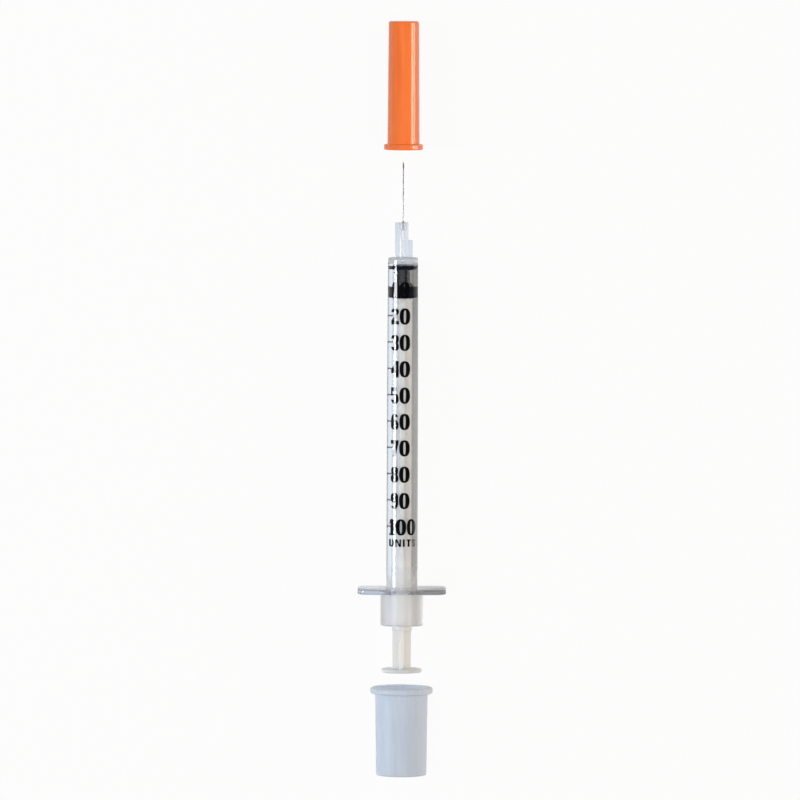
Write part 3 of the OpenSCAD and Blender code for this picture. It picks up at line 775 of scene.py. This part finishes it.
# Plunger cap
def cap_moulding():
    """Cup with a rounded rim, hollow for the collar and the end of the rod."""
    rim_y = CAP_MOUTH_Y - CAP_RIM_T
    fillet = ROOT_FILLET / 2
    piece = turned("cap_moulding", [
        (0, CAP_END_Y),
        *arc((CAP_END_R - CAP_END_ROUND, CAP_END_Y + CAP_END_ROUND), CAP_END_ROUND, -90, 0),
        *arc((CAP_MOUTH_R + fillet, rim_y - fillet), fillet, 180, 90 + FILLET_STOP, 5),
        *arc((CAP_RIM_R - CAP_RIM_ROUND, rim_y + CAP_RIM_ROUND), CAP_RIM_ROUND, -90, 0),
        *arc((CAP_RIM_R - CAP_RIM_ROUND, CAP_MOUTH_Y - CAP_RIM_ROUND), CAP_RIM_ROUND, 0, 90),
        (0, CAP_MOUTH_Y),
    ])
    floor_y = CAP_END_Y + CAP_FLOOR_T
    return merge(piece, turned("cap_inside", [
        (0, CAP_MOUTH_Y + OVER),
        (CAP_BORE_R + MOUTH_CHAMFER + OVER, CAP_MOUTH_Y + OVER),
        (CAP_BORE_R, CAP_MOUTH_Y - MOUTH_CHAMFER),
        (CAP_BORE_R, CAP_MOUTH_Y - CAP_BORE_L),
        *arc((CAP_CORE_R - CAP_END_ROUND, floor_y + CAP_END_ROUND), CAP_END_ROUND, 0, -90),
        (0, floor_y),
    ]), "DIFFERENCE")


# View of the photograph: angles in degrees, the camera's distance and reach in metres, and in millimetres
# the middle of the picture, the width that it shows and the sensor
VIEW_TILT = 3.5
VIEW_ROLL = 0.22
VIEW_DISTANCE = 2.0
VIEW_FAR = 20
VIEW_CENTRE = (-0.55, 40.5)
VIEW_WIDTH = 171.9
SENSOR = 36


def camera():
    """A long lens that looks down the +Z axis at the photograph's angle."""
    turn = Euler((math.radians(-VIEW_TILT), 0, math.radians(VIEW_ROLL)))
    target = Vector((VIEW_CENTRE[0], VIEW_CENTRE[1], 0)) * MM
    data = bpy.data.cameras.new("camera")
    data.sensor_width = SENSOR
    data.lens = SENSOR * VIEW_DISTANCE / (VIEW_WIDTH * MM)
    data.clip_end = VIEW_FAR
    item = bpy.data.objects.new("camera", data)
    item.location = target + turn.to_matrix() @ Vector((0, 0, VIEW_DISTANCE))
    item.rotation_euler = turn
    bpy.context.scene.collection.objects.link(item)
    bpy.context.scene.camera = item


# What rays see of the table. Through clear pieces it shows painted light at the window's side and painted
# shade from left of the axis on. The painted shade is deeper near the barrel's nose and fades past its
# shoulder. In a gloss the table is half white, and a painted reflection makes it whiter right of the shield.
PAINTED_LIGHT = "EAF3FF"
PAINTED_DUSK = "8C8781"
PAINTED_DEEP_DUSK = "5C5955"
PAINTED_DUSK_X = (-4.5, -0.5)
PAINTED_DUSK_FADE_L = 3
PAINTED_DUSK_LEFT_SHARE = 0.2
PAINTED_DEEP_DUSK_Y = (GRIP_L, SHOULDER_Y - 6)
PAINTED_GLEAM_X = (2, 5)
GLEAM_SHARE = 0.5
THROUGH_SHARE = 0.8
CAMERA_SHARE = 0.93


def as_seen(finish, surface):
    """The table as rays see it: white to the camera and in a gloss, with a painted reflection that is whiter
    right of the shield, and through clear pieces painted light on the window's side and painted shade
    beyond.
    The rest is the lit table itself, which keeps the shadow."""
    path = add_node(finish, "ShaderNodeLightPath")
    place = add_node(finish, "ShaderNodeSeparateXYZ", {
        "Vector": add_node(finish, "ShaderNodeTexCoord").outputs["Object"],
    })
    # Painted shade by place: clear pieces show the table darker from left of the axis on, less past the
    # shoulder and deeper near the nose
    across = add_node(finish, "ShaderNodeMapRange", {
        "Value": place.outputs["X"], "From Min": PAINTED_DUSK_X[0] * MM, "From Max": PAINTED_DUSK_X[1] * MM,
    }, interpolation_type="SMOOTHSTEP")
    along = add_node(finish, "ShaderNodeMapRange", {
        "Value": place.outputs["Y"],
        "From Min": (SHOULDER_Y - PAINTED_DUSK_FADE_L) * MM, "From Max": SHOULDER_Y * MM,
        "To Min": 1, "To Max": PAINTED_DUSK_LEFT_SHARE,
    })
    painted_dusk = add_node(finish, "ShaderNodeMath", {
        0: across.outputs["Result"], 1: along.outputs["Result"],
    }, operation="MULTIPLY")
    depth = add_node(finish, "ShaderNodeMapRange", {
        "Value": place.outputs["Y"], "From Min": PAINTED_DEEP_DUSK_Y[0] * MM, "From Max": PAINTED_DEEP_DUSK_Y[1] * MM,
    })
    dark = add_node(finish, "ShaderNodeMix", {
        0: depth.outputs["Result"], 6: linear(PAINTED_DUSK), 7: linear(PAINTED_DEEP_DUSK),
    }, data_type="RGBA")
    shade = add_node(finish, "ShaderNodeMix", {
        0: painted_dusk.outputs[0], 6: linear(PAINTED_LIGHT), 7: dark.outputs[2],
    }, data_type="RGBA")
    # Painted reflection by place: glossy rays see the table whiter to the right beside the shield
    right = add_node(finish, "ShaderNodeMapRange", {
        "Value": place.outputs["X"], "From Min": PAINTED_GLEAM_X[0] * MM, "From Max": PAINTED_GLEAM_X[1] * MM,
        "To Min": GLEAM_SHARE, "To Max": 1,
    })
    by_shield = add_node(finish, "ShaderNodeMath", {
        0: place.outputs["Y"], 1: SHIELD_MOUTH_Y * MM,
    }, operation="GREATER_THAN")
    painted_gleam = add_node(finish, "ShaderNodeMapRange", {
        "Value": by_shield.outputs[0], "To Min": GLEAM_SHARE, "To Max": right.outputs["Result"],
    })
    white = (1, 1, 1, 1)
    # Emission over the lit table for each kind of ray: white to the camera, and for clear pieces the painted
    # light and shade above
    for seen, share, colour in (
        (path.outputs["Is Glossy Ray"], painted_gleam.outputs["Result"], white),
        (path.outputs["Is Transmission Ray"], THROUGH_SHARE, shade.outputs[2]),
        (path.outputs["Is Camera Ray"], CAMERA_SHARE, white),
    ):
        glow = add_node(finish, "ShaderNodeEmission", {"Color": colour})
        surface = cover(finish, surface, seen, share, glow.outputs[0])
    return surface


def table_floor():
    """A pale table under the cap's rim and the shield's lip, the two places that the parts lie on."""
    low_y, low_z = CAP_MOUTH_Y - CAP_RIM_T / 2, -CAP_RIM_R
    high_y, high_z = SHIELD_MOUTH_Y + SHIELD_LIP_T / 2, -SHIELD_LIP_R
    slope = (high_z - low_z) / (high_y - low_y)
    half = 3000
    corners = [(-half, -half), (half, -half), (half, half), (-half, half)]
    points = [Vector((x, y, low_z + (y - low_y) * slope)) * MM for x, y in corners]
    mesh = bpy.data.meshes.new("table")
    mesh.from_pydata(points, [], [(0, 1, 2, 3)])
    floor = bpy.data.objects.new("table", mesh)
    bpy.context.scene.collection.objects.link(floor)
    finish, shader = new_finish("matt_white_table", "F4F4F4", 0.9, Specular_IOR_Level=0.1)
    output = finish.node_tree.nodes["Material Output"]
    feed(finish, output, "Surface", as_seen(finish, shader.outputs[0]))
    mesh.materials.append(finish)
    return floor


def soft_lamp(name, bearing, distance, size, power, colour, *hidden_from):
    """A flat lamp beside the view axis: bearing is its angle from straight above, to the right. Its distance
    and size are in metres, its power is in watts, and the kinds of ray in hidden_from don't see it."""
    data = bpy.data.lights.new(name, "AREA")
    data.shape = "RECTANGLE"
    data.size, data.size_y = size
    data.energy = power
    data.color = linear(colour)[:3]
    item = bpy.data.objects.new(name, data)
    for rays in hidden_from:
        setattr(item, "visible_" + rays, False)
    bpy.context.scene.collection.objects.link(item)
    angle = math.radians(bearing)
    centre = Vector((0, VIEW_CENTRE[1] * MM, 0))
    away = Vector((math.sin(angle), 0, math.cos(angle)))
    item.location = centre + away * distance
    item.rotation_euler = (centre - item.location).to_track_quat("-Z", "Y").to_euler()
    return item


# Heights of the view upwards between which the ceiling darkens, from 0 at the horizon to 1 overhead
CEILING_FROM = 0.35
CEILING_TO = 0.8


def room_light(left, right, strength, overhead_share):
    """Light from all round, cool from the left and warm from the right, as a room with one window gives. The
    ceiling overhead is darker, so that the clear wall shows the black ink and rubber without a grey veil."""
    world = bpy.data.worlds.new("room")
    bpy.context.scene.world = world
    world.use_nodes = True
    way = add_node(world, "ShaderNodeSeparateXYZ", {
        "Vector": add_node(world, "ShaderNodeTexCoord").outputs["Generated"],
    })
    across = add_node(world, "ShaderNodeMapRange", {"Value": way.outputs["X"], "From Min": -1})
    overhead = add_node(world, "ShaderNodeMapRange", {
        "Value": way.outputs["Z"], "From Min": CEILING_FROM, "From Max": CEILING_TO,
        "To Min": strength, "To Max": strength * overhead_share,
    })
    colour = add_node(world, "ShaderNodeMix", {
        0: across.outputs["Result"], 6: linear(left), 7: linear(right),
    }, data_type="RGBA")
    room = world.node_tree.nodes["Background"]
    feed(world, room, "Color", colour.outputs[2])
    feed(world, room, "Strength", overhead.outputs["Result"])
    white = add_node(world, "ShaderNodeBackground", {"Color": (1, 1, 1, 1)})
    path = add_node(world, "ShaderNodeLightPath")
    both = add_node(world, "ShaderNodeMixShader", {
        0: path.outputs["Is Camera Ray"], 1: room.outputs[0], 2: white.outputs[0],
    })
    feed(world, world.node_tree.nodes["World Output"], "Surface", both.outputs[0])


def lit_only(lamp, pieces):
    """Lets a lamp light only these pieces."""
    group = bpy.data.collections.new(lamp.name + "_pieces")
    for piece in pieces:
        group.objects.link(piece)
    lamp.light_linking.receiver_collection = group


camera()
bpy.context.scene.view_settings.view_transform = "Standard"

barrel = dress(barrel_moulding(), "barrel_body", "clear_polypropylene", clarified_polypropylene(), "barrel")
cannula = dress(cannula_tube(), "barrel_body", "stainless_cannula", drawn_steel(), "cannula")
adhesive = dress(adhesive_fillet(), "barrel_body", "clear_adhesive", cured_adhesive(), "needle_adhesive")
stopper = dress(rubber_stopper(), "plunger_body", "black_rubber", siliconed_rubber(), "stopper")
rod = dress(plunger(), "plunger_body", "white_polypropylene", white_polypropylene(), "plunger_rod")
orange = orange_polyethylene()
shield = dress(shield_moulding(), "shield_body", "orange_polyethylene", orange, "needle_shield")
cap = dress(cap_moulding(), "cap_body", "milky_polyethylene", milky_polyethylene(), "plunger_cap")
ink = printed_ink()
marks = [frame["nodes"][name] for name in ("graduation_lines", "scale_numerals", "unit_legend")]
for mark in marks:
    mark.data.materials.clear()
    mark.data.materials.append(ink)

# A window at the left and soft light from all round. The photographed shield has other highlights than the
# barrel has, so it gets lamps of its own.
floor = table_floor()
window = soft_lamp("window", -60, 1.3, (0.25, 0.4), 6.2, "F8FAFF", "transmission")
lit_only(window, [barrel, cannula, adhesive, stopper, rod, cap, floor, *marks])
soft_lamp("fill", -10, 1.6, (1.6, 1.6), 11, "FFFDFA", "glossy")
soft_lamp("bounce", 60, 1.4, (1.2, 1.2), 10, "FFF0E0", "glossy")
side = soft_lamp("side", -10, 1.3, (0.6, 0.6), 8.5, "FFFFFF", "glossy", "transmission")
panel = soft_lamp("panel", 66, 1.3, (1.35, 0.34), 12, "FFF6EC", "diffuse", "transmission")
rim = soft_lamp("rim", 86, 1.3, (0.5, 0.3), 4, "FFF0EC", "diffuse", "transmission")
lit_only(rim, [shield])
lit_only(side, [shield])
lit_only(panel, [shield, cannula])
room_light("DDE6F4", "A0978C", 0.35, 0.25)
